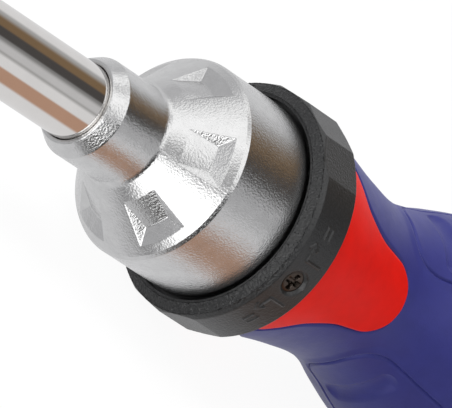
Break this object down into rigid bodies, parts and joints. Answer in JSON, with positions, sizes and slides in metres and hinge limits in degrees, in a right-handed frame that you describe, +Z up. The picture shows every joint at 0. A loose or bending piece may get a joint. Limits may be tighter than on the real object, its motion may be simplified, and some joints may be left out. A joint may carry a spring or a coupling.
{
  "type": "ratcheting screwdriver",
  "caption": "Ratcheting screwdriver with a chrome bit-holder shaft, cast ratchet nose, black selector ring, red and blue waisted handle, and an end cap that carries spare bits.",
  "frame": {"origin": "centre of the bounding box's footprint, at the height of the flat that the handle rests on", "axes": "+X along the tool's axis towards the bit socket, +Z up from the flat that the handle rests on"},
  "size_m": [0.223, 0.0372, 0.0356],
  "materials": {
    "red_plastic": "glossy moulded red plastic",
    "blue_plastic": "blue moulded plastic with a soft sheen",
    "black_plastic": "fine-textured black plastic",
    "rack_plastic": "plain black plastic",
    "nose_casting": "satin-finished nickel-plated casting",
    "shaft_chrome": "mirror-polished chrome plate",
    "inner_steel": "plain hardened steel",
    "screw_steel": "zinc-plated screw",
    "spring_steel": "spring steel",
    "bronze": "plain bearing bronze",
    "magnet": "plain magnet",
    "seal_rubber": "black rubber",
    "bit_steel": "satin tool steel"
  },
  "bodies": {
    "handle": {"handle_core": "red_plastic", "grip_sleeve": "blue_plastic", "nose_housing": "nose_casting", "back_plate": "inner_steel", "plate_screw_1": "screw_steel", "plate_screw_2": "screw_steel", "plate_screw_3": "screw_steel", "pawl_pin_a": "inner_steel", "pawl_pin_b": "inner_steel", "pawl_spring_a": "spring_steel", "pawl_spring_b": "spring_steel", "detent_spring": "spring_steel"},
    "spindle": {"shaft": "shaft_chrome", "bit_magnet": "magnet", "bit_clip": "spring_steel", "thrust_washer": "bronze", "ratchet_gear": "inner_steel", "retaining_ring": "spring_steel"},
    "selector": {"selector_ring": "black_plastic", "selector_screw": "screw_steel"},
    "pawl_a": {"pawl_a": "inner_steel"},
    "pawl_b": {"pawl_b": "inner_steel"},
    "storage": {"end_cap": "red_plastic", "cap_seal": "seal_rubber", "bit_rack": "rack_plastic", "bit_1": "bit_steel", "bit_2": "bit_steel", "bit_3": "bit_steel", "bit_4": "bit_steel", "bit_5": "bit_steel", "bit_6": "bit_steel"}
  },
  "joints": [
    {"name": "shaft_spin", "type": "hinge", "parent": "handle", "child": "spindle", "pos_m": [0.0065, 0, 0.0168], "axis": [1, 0, 0], "continuous": true},
    {"name": "selector_turn", "type": "hinge", "parent": "handle", "child": "selector", "pos_m": [0.0028, 0, 0.0168], "axis": [1, 0, 0], "range_deg": [0, 36]},
    {"name": "pawl_a_tilt", "type": "hinge", "parent": "handle", "child": "pawl_a", "pos_m": [0.0028, -0.00465, 0.00683], "axis": [1, 0, 0], "range_deg": [-14, 0]},
    {"name": "pawl_b_tilt", "type": "hinge", "parent": "handle", "child": "pawl_b", "pos_m": [0.0028, -0.01096, 0.01776], "axis": [1, 0, 0], "range_deg": [-14, 0]},
    {"name": "cap_pull", "type": "slide", "parent": "handle", "child": "storage", "axis": [-1, 0, 0], "range_m": [0, 0.045]}
  ],
  "couplings": [
    {"joint": "pawl_a_tilt", "follows": "selector_turn", "ratio": -0.3888},
    {"joint": "pawl_b_tilt", "follows": "selector_turn", "ratio": -0.3888}
  ]
}
